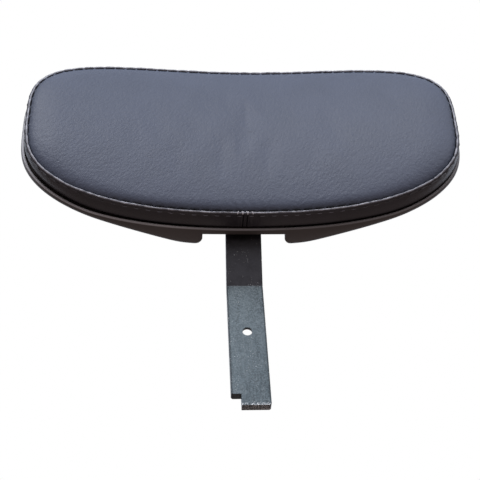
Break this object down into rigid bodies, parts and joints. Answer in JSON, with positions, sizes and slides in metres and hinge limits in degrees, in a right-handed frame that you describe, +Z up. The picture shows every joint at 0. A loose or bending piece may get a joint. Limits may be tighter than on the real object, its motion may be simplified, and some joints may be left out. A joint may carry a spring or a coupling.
{
  "type": "chair headrest attachment",
  "caption": "Wide curved upholstered headrest pad on a moulded rear shell, hinged to a bent flat steel stem that slides into the top of a chair back.",
  "frame": {"origin": "centre of the stem's lower end face", "axes": "+Z up along the stem's lower leg, -Y the way the pad faces, +X to the right of someone looking at the pad"},
  "size_m": [0.3102, 0.0902, 0.2582],
  "materials": {
    "leather_face": "soft-sheen pebbled black leather",
    "leather_band": "soft-sheen pebbled black leather, top-stitched",
    "foam": "open-cell polyurethane foam, hidden",
    "board_plastic": "moulded black plastic, hidden",
    "shell_plastic": "fine-textured black moulded plastic",
    "stem_steel": "dark blue-grey coated steel, rubbed at the edges",
    "weld_steel": "coated weld bead",
    "zinc_steel": "zinc-plated steel",
    "black_steel": "blackened steel screw",
    "nylon": "natural nylon"
  },
  "bodies": {
    "stem": {"stem_bar": "stem_steel", "pivot_barrel": "stem_steel", "weld_bead_front": "weld_steel", "weld_bead_rear": "weld_steel", "bush_left": "nylon", "bush_right": "nylon"},
    "pad": {"cover_face": "leather_face", "cover_band": "leather_band", "foam_core": "foam", "carrier_board": "board_plastic", "rear_shell": "shell_plastic", "hinge_bracket": "zinc_steel", "t_nut_1": "zinc_steel", "t_nut_2": "zinc_steel", "t_nut_3": "zinc_steel", "t_nut_4": "zinc_steel", "bracket_screw_1": "zinc_steel", "bracket_screw_2": "zinc_steel", "bracket_screw_3": "zinc_steel", "bracket_screw_4": "zinc_steel", "shell_screw_1": "black_steel", "shell_screw_2": "black_steel", "shell_screw_3": "black_steel", "shell_screw_4": "black_steel", "friction_washer_left": "zinc_steel", "friction_washer_right": "zinc_steel", "flat_washer": "zinc_steel", "disc_spring_1": "zinc_steel", "disc_spring_2": "zinc_steel", "lock_nut": "zinc_steel", "pivot_bolt": "zinc_steel"}
  },
  "joints": [
    {"name": "pad_tilt", "type": "hinge", "parent": "stem", "child": "pad", "pos_m": [0, -0.02602, 0.15932], "axis": [1, 0, 0], "range_deg": [-20, 5]}
  ]
}
